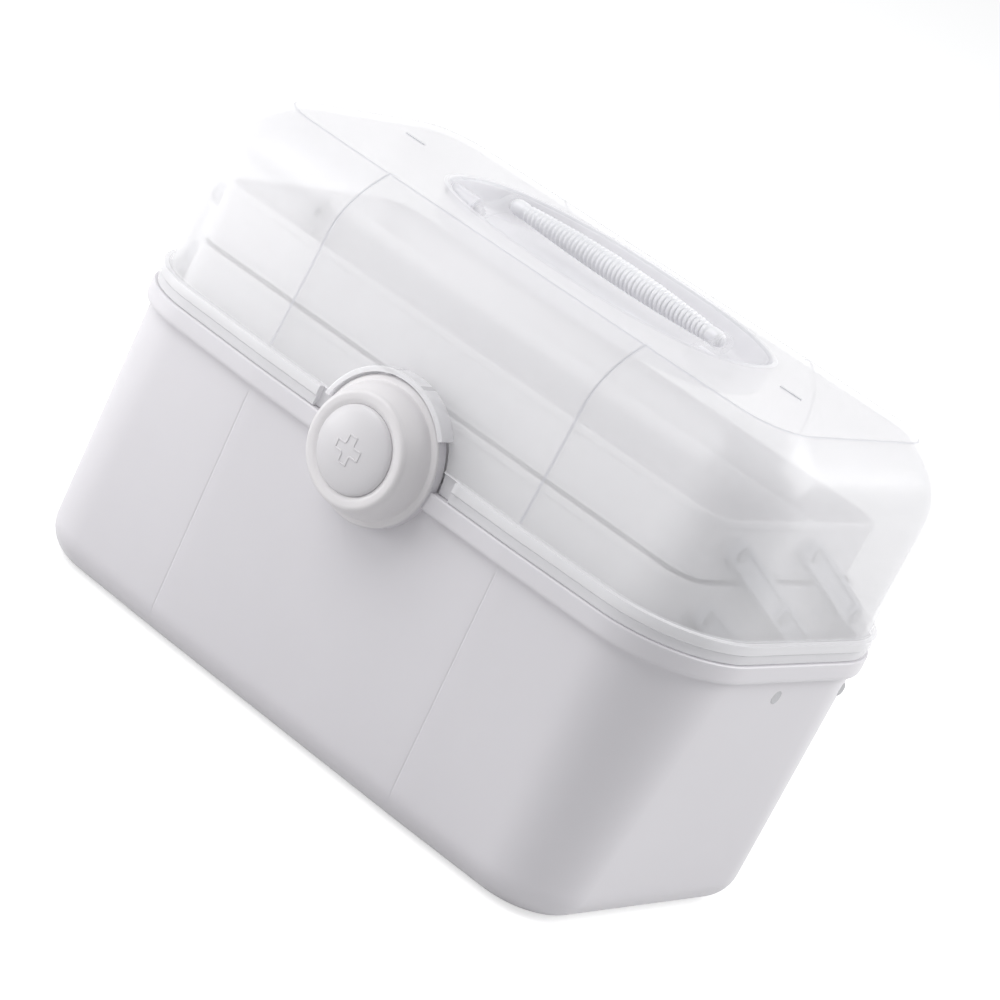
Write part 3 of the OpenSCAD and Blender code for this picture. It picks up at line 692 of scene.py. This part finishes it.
bandRing = ringOf(box["rimLong"] / 2 - lid["bandIn"], box["rimDeep"] / 2 - lid["bandIn"], box["fall"],
                  box["cornerX"], box["cornerY"], lidZ)
lidLow = ringOf(wallX, lidWallY, box["fall"], tubTop[3], tubTop[4], bandZ + 1)
lidHigh = ringOf(wallX - lid["leanX"], lidWallY - lid["leanY"], box["fall"], lid["rollCornerX"],
                 lid["rollCornerY"], rollZ)
lidTop = ringOf(wallX - lid["leanX"] - lid["rollX"], lidWallY - lid["leanY"] - lid["rollY"],
                lid["topFall"], lid["topCorner"], lid["topCorner"], top)


# ring of the rounded shoulder, at a share of its height and a depth inside the skin
def rollAt(share, depth):
    low, high = inset(lidHigh, depth, 0), inset(lidTop, depth, 0)
    return between(low, high, share ** lid["fullness"])[:5] + [rollZ + (lid["rollHigh"] - depth) * share]


# a squarish oval with one point for each point of the outline it has to join
def wellRing(like, grow, z):
    line, power = [], well["square"]
    for p in like:
        u, v = p.x / mm / well["a"], (p.y / mm - well["y"]) / well["b"]
        out = (abs(u) ** power + abs(v) ** power) ** (1 / power)
        line.append(pointMm((well["a"] + grow) * u / out, well["y"] + (well["b"] + grow) * v / out, z))
    return line


def wellX(y):
    return well["a"] * (1 - abs((y - well["y"]) / well["b"]) ** well["square"]) ** (1 / well["square"])


# the skin's outside, from the rim's foot up over the shoulder and down into the well
def lidRings():
    dip, low = lid["creaseDip"], lid["creaseLow"]
    foot, strip, step = lidZ - lid["drop"], lidZ + lid["stripHigh"], lid["bandStep"]
    band = [(step + 0.4, foot), (step, foot + 0.4), (step, strip - 0.3), (step - 0.3, strip),
            (0.25, strip + 0.1), (0, strip + 0.5), (0, bandZ - 0.7), (0.2, bandZ - 0.2), (0.8, bandZ)]
    outer = [(inset(bandRing, by, z), 0) for by, z in band]
    outer += [(inset(lidLow, -0.7, bandZ + 0.1), 0), (inset(lidLow, -0.15, bandZ + 0.5), 0), (lidLow, 0)]
    outer += [(between(lidLow, lidHigh, k), dip * low * k) for k in (0.25, 0.5, 0.75)]
    for i in range(lid["rollSteps"]):
        k = i / lid["rollSteps"]
        outer.append((rollAt(k, 0), dip * (low + (1 - low) * k)))
    outer += [(rollAt(0.985, 0), dip), (rollAt(1, 0), dip * 0.8), (inset(lidTop, 1.2, top), 0.2)]
    edge = outlineOf(inset(lidTop, lid["topEdge"], top))
    rings = [outlineOf(ring, d) for ring, d in outer] + [edge]

    rim, curve, floorZ = well["rim"], well["foot"], top - well["deep"]
    turns = [quarterTurn * i / 4 for i in range(5)]
    rings += [wellRing(edge, rim + 2.2, top), wellRing(edge, rim + 1.5, top + well["bead"]),
              wellRing(edge, rim + 0.5, top + well["bead"])]
    rings += [wellRing(edge, rim * (1 - math.sin(a)), top - 0.1 - rim * (1 - math.cos(a))) for a in turns]
    rings.append(wellRing(edge, -0.25, top - 0.55 * well["deep"]))
    rings += [wellRing(edge, -0.4 - curve * (1 - math.cos(a)), floorZ + curve * (1 - math.sin(a)))
              for a in turns]
    return rings, edge


# its inside, from under the well's floor outwards and down to the rim
def lidUnder(edge):
    t, curve, steps = lid["wall"], well["footUnder"], lid["rollStepsIn"]
    floorZ = top - well["deep"] - t
    under = [wellRing(edge, t - curve - 0.4, floorZ)]
    for i in range(4):
        a = quarterTurn * (1 - i / 3)
        under.append(wellRing(edge, t - curve * (1 - math.cos(a)), floorZ + curve * (1 - math.sin(a))))
    under += [wellRing(edge, t, top - t - 1.0), wellRing(edge, t + 0.8, top - t),
              outlineOf(inset(lidTop, lid["topEdge"] + t, top - t))]
    under += [outlineOf(rollAt(1 - i / steps, t)) for i in range(steps + 1)]
    for share in (0.66, 0.33):
        z = bandZ + 1 + (rollZ - bandZ - 1) * share
        under.append(outlineOf(inset(between(lidLow, lidHigh, share), t, z)))
    under += [outlineOf(inset(lidLow, t, bandZ)),
              outlineOf(inset(bandRing, box["flangeOut"] + t - 0.4, lidZ + 0.3)),
              outlineOf(inset(bandRing, box["flangeOut"] + t - 0.7, lidZ))]
    return under


# hood over the latch, an arc from the tab's right side round its top, its outer edge softened
def makeArch():
    inner, outer = archR - arch["sunk"], archR + arch["wide"]
    back, front = latch["front"] + arch["back"], latch["front"] - arch["out"]
    soft, softer = arch["soft"], arch["soft"] * 0.3
    profile = [(inner, back), (outer, back), (outer, front + soft), (outer - softer, front + softer),
               (outer - soft, front), (inner + soft, front), (inner + softer, front + softer),
               (inner, front + soft)]
    rings = []
    for i in range(arch["steps"] + 1):
        a = math.radians(arch["start"] + (arch["end"] - arch["start"]) * i / arch["steps"])
        rings.append([pointMm(r * math.cos(a), y, latch["z"] + r * math.sin(a)) for r, y in profile])
    return loft("arch", rings)


zones = {
    "wellOut": 4, "wellDown": 0.5,      # how far the well's milky plastic reaches past it
    "wellShadeLine": (0.12, 0.9),            # depth of the painted shade line round the well's rim
    "topShadeLine": (0.03, 0.55),            # and of the painted shade line round the flat top
    "creaseHalf": 0.7, "creaseUp": 2, "creaseFrom": 55,
    "bandUp": 0.3, "archBack": 3, "archOut": 5,
    "flatFrom": 0.9, "upFrom": 0.2,     # how far a face's normal points up
}


# where the lid's plastic is thick and milky, where a turned edge or crease gets a painted shade line, and
# where the rim's recessed lower strip gets painted shade
def lidZone(middle, normal):
    depth = top - middle.z
    u, v = middle.x / (well["a"] + zones["wellOut"]), (middle.y - well["y"]) / (well["b"] + zones["wellOut"])
    inWell = abs(u) ** well["square"] + abs(v) ** well["square"] < 1
    if inWell and depth < well["deep"] + lid["wall"] + zones["wellDown"]:
        return "edgeShadeGrey" if zones["wellShadeLine"][0] < depth < zones["wellShadeLine"][1] else "wellMilk"
    # painted shade on the recessed lower strip of the rim
    if middle.z < lidZ + lid["stripHigh"] and abs(normal.z) < zones["flatFrom"]:
        return "rimShadeGrey"
    fromAxis = math.hypot(middle.x, middle.z - latch["z"])
    archEnd = latch["footD"] / 2 + zones["archOut"]
    onArch = middle.y < latch["front"] + zones["archBack"] and fromAxis < archEnd
    if middle.z < bandZ + zones["bandUp"] or onArch:
        return "bandMilk"
    outside = normal.y * middle.y > 0 or normal.z > zones["upFrom"]
    beside = abs(abs(middle.x) - box["crease"]) < zones["creaseHalf"]
    atCrease = beside and abs(middle.y) > zones["creaseFrom"] and middle.z > bandZ + zones["creaseUp"]
    # painted shade line along the creases and round the flat top's edge
    if outside and atCrease:
        return "edgeShadeGrey"
    if outside and zones["topShadeLine"][0] < depth < zones["topShadeLine"][1]:
        return "edgeShadeGrey"
    return None


def latchNotch():
    front, z = latch["front"], latch["z"]
    return [rod("notch", (0, front + notch["back"], z), (0, front - notch["front"], z), archR,
                notch["steps"]),
            roundedBlock("rimCut", (-notch["half"], notch["frontY"], lidZ - 1),
                         (notch["half"], tabBack, bandZ + 0.05))]


def lidCatch():
    z = latch["z"] + catch["up"]
    return roundedBlock("catch", (-catch["half"], tabBack + catch["clear"], z),
                        (catch["half"], hook["front"] - catch["clear"], z + catch["high"]), catch["soft"])


def lidKnuckle(side):
    x, half, y, z = side * hinge["x"], hinge["knuckle"] / 2, hinge["y"], hinge["z"]
    return [rodAcross("knuckle", x - half, x + half, y, z, hinge["barrel"] / 2),
            roundedBlock("knuckleRoot", (x - half, hinge["rootY"], z), (x + half, y, bandZ - 1))]


def knuckleBore(side):
    x, half = side * hinge["x"], hinge["knuckle"] / 2 + 1
    return rodAcross("knuckleBore", x - half, x + half, hinge["y"], hinge["z"],
                     hinge["pin"] / 2 + hinge["play"])


def handleBoss(side):
    start = handle["armX"] + handle["armT"] + handle["play"]
    end = wellX(handle["pivotY"]) + handle["bossOver"]
    return rodAcross("handleBoss", side * start, side * end, handle["pivotY"], handle["pivotZ"],
                     handle["bossR"])


def handleBore(side):
    end = wellX(handle["pivotY"]) + handle["boreOver"]
    return rodAcross("handleBore", side * handle["armX"], side * end, handle["pivotY"], handle["pivotZ"],
                     handle["pin"] / 2)


def makeLid():
    rings, edge = lidRings()
    shell = loft("lidShell", lidUnder(edge) + rings)
    joinAndCut(shell, [makeArch()], latchNotch())
    joined, cut = [lidCatch()], []
    for side in (-1, 1):
        joined += lidKnuckle(side) + [handleBoss(side)]
        cut += [knuckleBore(side), handleBore(side)]
    joinAndCut(shell, joined, cut)
    crispEdges(shell)
    dress(shell, "lidFrost", "lid", "lid_clear", "lid_shell")
    zoneFinish(shell, lidZone)


dashes = {
    "places": {"topDashRight": (102.5, -1.0), "topDashLeft": (-114.5, 7.5)},
    "halfLong": 5.5, "halfWide": 0.7, "sunk": 0.4, "rise": 0.35, "soft": 0.3,
}


# two short raised dashes on the flat top
def makeDashes():
    long, wide = dashes["halfLong"], dashes["halfWide"]
    for name, (x, y) in dashes["places"].items():
        dash = roundedBlock(name, (x - long, y - wide, top - dashes["sunk"]),
                            (x + long, y + wide, top + dashes["rise"]), dashes["soft"])
        crispEdges(dash)
        # the dashes take the same painted edge-shade grey
        dress(dash, "edgeShadeGrey", "lid", "lid_clear")


makeLid()
makeDashes()
print("lid made")


# latch

toFront = onLatchAxis(latch["front"])
buttonFloor = latch["high"] - latch["underButton"]


# fixed ring round the button: a stepped foot, a side that narrows and a rounded lip
def makeLatch():
    foot, lip, high = latch["footD"] / 2, latch["ringD"] / 2, latch["high"]
    bore = latch["buttonD"] / 2 + latch["gap"]
    hole = latch["stem"] + latch["stemGap"]
    neck, neckHigh, taper, taperSteps = foot - 2.6, 2.6, 3.3, 8
    profile = [(hole, 0), (foot, 0), (foot, 0.7), (foot - 0.25, 1.15), (foot - 0.7, 1.4), (foot - 1.8, 1.55),
               (foot - 2.35, 1.9), (neck, neckHigh)]
    for i in range(1, taperSteps + 1):
        k = i / taperSteps
        profile.append((neck - taper * k ** 1.7, neckHigh + (high - 5.0) * k))
    profile += [(lip + 0.45, high - 1.9), (lip + 0.3, high - 1.3), (lip - 0.1, high - 0.55),
                (lip - 0.8, high - 0.12), (lip - 1.6, high), (bore + 1.9, high - 0.05),
                (bore + 1.2, high - 0.3), (bore + 0.5, high - 0.55), (bore + 0.1, high - 0.75),
                (bore - 0.2, high - 0.85), (bore - 0.2, latch["floor"]), (hole, latch["floor"])]
    housing = lathe("latchHousing", profile, toFront, 160)
    crispEdges(housing)
    dress(housing, "latchWhite", "tub", "latch_white", "latch_housing")


button = {
    "edgeIn": 0.5, "crownLow": 0.3, "fullness": 1.35, "skirt": 1.8, "skirtWall": 2,
    "crownRows": (17.35, 17.1, 16.6, 15.8, 14.6, 13, 11, 9, 7, 5, 3, 1.4, 0),
    "signReach": 6.4, "signBar": 2.3, "signWide": 0.85, "signRise": 0.3, "signSunk": 0.5,
    "signSoft": 0.7, "signEdge": (0.18, 0.12),
}


# height of the button's crown over the housing's foot, at radius r
def domeHeight(r):
    edge = latch["buttonD"] / 2 - button["edgeIn"]
    share = math.sqrt(max(0.0, 1 - (r / edge) ** 2))
    return latch["high"] + button["crownLow"] + latch["dome"] * share ** button["fullness"]


def makeButton():
    r, stem, high = latch["buttonD"] / 2, latch["stem"], latch["high"]
    back = latch["front"] - hook["tip"]
    inside, skirt = r - button["skirtWall"], button["skirt"] + latch["travel"]
    profile = [(0, back), (2, back), (3.2, back + 0.6), (stem, back + 5), (stem, buttonFloor),
               (inside, buttonFloor), (inside, skirt), (r, skirt), (r, high - 0.6), (r - 0.15, high - 0.1)]
    profile += [(row, domeHeight(row)) for row in button["crownRows"]]
    crown = lathe("pushButton", profile, toFront, 128)
    crispEdges(crown)
    dress(crown, "buttonWhite", "button", "button_white", "latch_button")


# outline of the plus, its corners rounded
def plusLine():
    reach, bar = button["signReach"], button["signBar"]
    corners = [(bar, bar), (reach, bar), (reach, -bar), (bar, -bar), (bar, -reach), (-bar, -reach),
               (-bar, -bar), (-reach, -bar), (-reach, bar), (-bar, bar), (-bar, reach), (bar, reach)]
    corners = [Vector(corner) for corner in corners]
    line = []
    for i, corner in enumerate(corners):
        before = (corners[i - 1] - corner).normalized() * button["signSoft"]
        after = (corners[(i + 1) % len(corners)] - corner).normalized() * button["signSoft"]
        line += [corner + before * (1 - k) ** 2 + after * k ** 2 for k in (0, 0.25, 0.5, 0.75, 1)]
    return line


# raised outline of a plus on the crown, following the dome
def makeSign():
    width, rise, sunk = button["signWide"], button["signRise"], button["signSunk"]
    soft, low = button["signEdge"]
    rings = []
    for grow, up in ((0, -sunk), (0, low), (soft, rise), (width - soft, rise), (width, low), (width, -sunk)):
        rings.append([pointMm(p.x, p.y, domeHeight(p.length) + up) for p in offsetLine(plusLine(), grow)])
    sign = loft("buttonPlus", rings, closed=True)
    sign.data.transform(toFront)
    crispEdges(sign)
    dress(sign, "buttonWhite", "button", "button_white")


spring = {"wire": 1.2, "mean": 19, "turns": 4, "turnSteps": 24, "wireSteps": 12, "play": 0.05}


# coil between the housing's floor and the button, pressed flatter as the button goes in
def makeSpring():
    wire, middle = spring["wire"] / 2, spring["mean"] / 2
    seat, floor = latch["floor"], buttonFloor
    low, high = seat + wire + spring["play"], floor - wire - spring["play"]
    steps = spring["turns"] * spring["turnSteps"]
    rings = []
    for i in range(steps + 1):
        z = low + (high - low) * i / steps
        a = 2 * math.pi * i / spring["turnSteps"]
        ring = []
        for k in range(spring["wireSteps"]):
            out, up = onCircle(wire, 2 * math.pi * k / spring["wireSteps"])
            ring.append(pointMm(*onCircle(middle + out, a), z + up))
        rings.append(ring)
    coil = loft("latchCoil", rings)
    coil.data.transform(toFront)
    crispEdges(coil)
    dress(coil, "dullSteel", "tub", "steel", "latch_spring")
    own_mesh(coil)


makeLatch()
makeButton()
makeSign()
makeSpring()
print("latch made")


# handle

# one rib: share of the pitch, and how far the rib has fallen off there
ribShape = ((0.02, 1.0), (0.22, 1.0), (0.36, 0.35), (0.50, 0.06), (0.64, 0.0), (0.78, 0.06), (0.92, 0.4))


def makeGrip():
    half, stub = handle["gripHalf"], handle["armT"] / 2
    endR, midR = handle["endD"] / 2, handle["gripD"] / 2
    ribbed = half - handle["plainEnd"]
    count = int(2 * ribbed / handle["pitch"])
    start = -count * handle["pitch"] / 2

    def swell(x):
        return endR + (midR - endR) * (1 - (x / ribbed) ** 2)

    bulb = [(1.2, -half - stub + 0.1), (2.1, -half - stub + 0.5), (endR - 0.7, -half - 0.2),
            (endR - 0.2, -half + 0.7), (endR + 0.1, -half + 1.8), (endR + 0.1, start - 1.4),
            (endR - 0.25, start - 0.6)]
    profile = [(0, -half - stub)] + bulb
    for i in range(count):
        x, r = start + i * handle["pitch"], swell(start + (i + 0.5) * handle["pitch"])
        profile += [(r - handle["rib"] * fall, x + share * handle["pitch"]) for share, fall in ribShape]
    profile += [(r, -x) for r, x in reversed(bulb)] + [(0, half + stub)]
    place = Matrix.Translation(pointMm(0, handle["gripY"], handle["gripZ"]))
    grip = lathe("handleGrip", profile, place @ Matrix.Rotation(quarterTurn, 4, "Y"), 48)
    for point in grip.data.vertices:    # straight along the fingers, full along the palm
        point.co.y += handle["belly"] * mm * max(0.0, swell(point.co.x / mm) - endR)
    crispEdges(grip)
    dress(grip, "handleMilk", "handle", "handle_grey", "handle_grip")


# side view of an arm lying along X: an eye at the pivot, a waist and an eye for the grip
def armLine():
    near, far = handle["eyeD"] / 2, handle["endD"] / 2 + handle["eyeOver"]
    long, half = handle["arm"], handle["armWide"] / 2
    nearEye = [onCircle(near, math.radians(90 + 10 * i)) for i in range(19)]
    farEye = [onCircle(far, math.radians(-90 + 10 * i)) for i in range(19)]
    waist = [(0.35 * long, half - 0.4), (0.65 * long, half - 0.3)]
    line = nearEye + [(x, -y) for x, y in waist] + [(long + x, y) for x, y in farEye] + waist[::-1]
    return [Vector(point) for point in line]


def makeArms():
    lean = Matrix.Rotation(math.atan2(handle["gripZ"] - handle["pivotZ"], handle["reach"]), 2)
    thick, soft = handle["armT"], handle["armSoft"]
    layers = ((0, -soft), (0.15, -0.15), (soft, 0), (thick - soft, 0), (thick - 0.15, -0.15), (thick, -soft))
    bm = bmesh.new()
    for side in (-1, 1):
        rows = []
        for x, grow in layers:
            turned = [lean @ point for point in offsetLine(armLine(), grow)]
            rows.append([bm.verts.new(pointMm(side * (handle["armX"] + x), handle["pivotY"] + p.x,
                                              handle["pivotZ"] + p.y)) for p in turned])
        for low, high in zip(rows, rows[1:]):
            bridge(bm, low, high)
        bm.faces.new(rows[0])
        bm.faces.new(rows[-1])
    arms = objectFrom("handleArms", bm)
    cut = []
    for side in (-1, 1):
        start, x = side * (handle["armX"] - 1), handle["armX"]
        cut.append(rodAcross("eye", start, side * (x + handle["eyeDeep"]), handle["pivotY"],
                             handle["pivotZ"], handle["eyeR"]))
        cut.append(rodAcross("seat", start, side * (x + thick / 2), handle["gripY"], handle["gripZ"],
                             handle["seatR"]))
    joinAndCut(arms, [], cut)
    crispEdges(arms)
    dress(arms, "armClear", "handle", "handle_grey", "handle_arms")


makeGrip()
makeArms()
print("handle made")


# trays

trays = {
    "halfLong": 140, "front": -75, "deep": 137, "topLess": 9, "high": 26, "wall": 2, "corner": 14,
    "rimUp": 24, "rimOverPivot": 10.5, "gap": 1.7, "pivotIn": 16, "pitch": 56, "topBack": 0.5,
    "foot": 0.9, "lip": 0.7, "bossR": 4.5, "bossIn": 2.6, "bossHigh": 1.1, "pin": 4, "boreIn": 6,
    "boreOut": 10, "slot": 2.0, "slotX": 50, "slotY": 75, "rib": 2, "ribDeep": 1.8, "ribHigh": 22,
    "ribDown": 24.01,                   # from the rim to the foot of a rib
}
trays["midRim"] = box["parting"] + trays["rimUp"]
trays["midZ"] = trays["midRim"] - trays["rimOverPivot"]
trays["midY"] = trays["front"] + trays["pivotIn"]
trays["topZ"] = trays["midZ"] + trays["high"] + trays["gap"]
trays["topY"] = trays["midY"] + trays["topBack"]
trays["topRim"] = trays["topZ"] + trays["rimOverPivot"]
trays["topFront"] = trays["front"] + trays["topBack"]


# rounded rectangle, one corner after the other
def trayLine(inward, front, deep, z):
    corner = trays["corner"]
    r = max(corner - inward, 1.0)
    x, y0, y1 = trays["halfLong"] - corner, front + corner, front + deep - corner
    line = []
    for cx, cy, turn in ((x, y1, 0), (-x, y1, 90), (-x, y0, 180), (x, y0, 270)):
        for i in range(11):
            out, up = onCircle(r, math.radians(turn + 9 * i))
            line.append(pointMm(cx + out, cy + up, z))
    return line


# section of the tray's wall: inset and height, round the foot, up, over the lip and down inside
def trayWall():
    lip, foot, high = trays["lip"], trays["lip"] + trays["foot"], trays["high"]
    inside = trays["wall"] + lip
    return [(foot + 0.8, 0), (foot + 0.2, 0.2), (foot, 0.8), (foot, 1.6), (lip + 0.6, 2.3), (lip + 0.1, 3.0),
            (lip, 4.2), (lip, high - 3.3), (0.15, high - 2.9), (0, high - 2.5), (0, high - 0.8),
            (0.2, high - 0.2), (0.7, high), (inside - 0.5, high), (inside - 0.1, high - 0.2),
            (inside, high - 0.6), (inside, 5.4), (inside + 0.3, 4.2), (inside + 1.0, 3.4),
            (inside + 1.5, 3.3), (inside + 1.8, 2.4), (inside + 2.6, 2)]


def makeTray(name, front, deep, rim, pivots, pivotZ, guides, body, node):
    low, half = rim - trays["high"], trays["halfLong"]
    tray = loft(name, [trayLine(by, front, deep, low + up) for by, up in trayWall()])
    joined, cut = [], []
    for side in (-1, 1):
        for y in pivots:
            joined.append(rodAcross("boss", side * (half - trays["bossIn"]),
                                    side * (half + trays["bossHigh"]), y, pivotZ, trays["bossR"]))
            cut.append(rodAcross("bore", side * (half - trays["boreIn"]), side * (half + trays["boreOut"]),
                                 y, pivotZ, trays["pin"] / 2))
    joined += [roundedBlock("guide", a, b) for a, b in guides]
    joinAndCut(tray, joined, cut)
    crispEdges(tray)
    dress(tray, "trayWhite", body, "tray_white", node)


# pairs of ribs that hold the loose dividers, one low and one high corner each
def dividerGuides():
    inner, half = trays["wall"] + trays["lip"], trays["rib"] / 2
    off, deep, high = half + trays["slot"] / 2, trays["ribDeep"], trays["ribHigh"]
    midLow, topLow = trays["midRim"] - trays["ribDown"], trays["topRim"] - trays["ribDown"]
    mid, upper = [], []
    for x in (-trays["slotX"], trays["slotX"]):
        for middle in (x - off, x + off):
            for y in (trays["front"] + inner - 0.5, trays["front"] + trays["deep"] - inner - 1.3):
                mid.append(((middle - half, y, midLow), (middle + half, y + deep, midLow + high)))
    divide = trays["topFront"] + trays["slotY"]
    for side in (-1, 1):
        x = side * (trays["halfLong"] - inner - 0.6)
        for y in (divide - off, divide + off):
            upper.append(((x - deep / 2, y - half, topLow), (x + deep / 2, y + half, topLow + high)))
    return mid, upper


midGuides, topGuides = dividerGuides()
midPivots = [trays["midY"] + trays["pitch"] * i for i in range(3)]
topPivots = [trays["topY"] + trays["pitch"] * i for i in range(2)]
makeTray("middleTray", trays["front"], trays["deep"], trays["midRim"], midPivots, trays["midZ"],
         midGuides, "middle", "middle_tray")
makeTray("topTray", trays["topFront"], trays["deep"] - trays["topLess"], trays["topRim"], topPivots,
         trays["topZ"], topGuides, "top", "top_tray")
print("trays made")


# carried-over parts

carried = {
    "lid_hinge_pins": "dullSteel", "hook_pin": "dullSteel", "handle_pins": "bandMilk",
    "tub_link_pins": "dullSteel", "middle_link_pins": "dullSteel", "top_link_pins": "dullSteel",
    "latch_hook": "tubWhite", "top_divider": "trayWhite", "middle_dividers": "trayWhite",
    "long_link_right": "linkWhite", "long_link_left": "linkWhite", "lower_link_right": "linkWhite",
    "lower_link_left": "linkWhite", "upper_link_right": "linkWhite", "upper_link_left": "linkWhite",
}
for node, look in carried.items():
    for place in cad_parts[node].material_slots:
        place.material = finish[look]
print("carried-over parts finished:", len(carried))
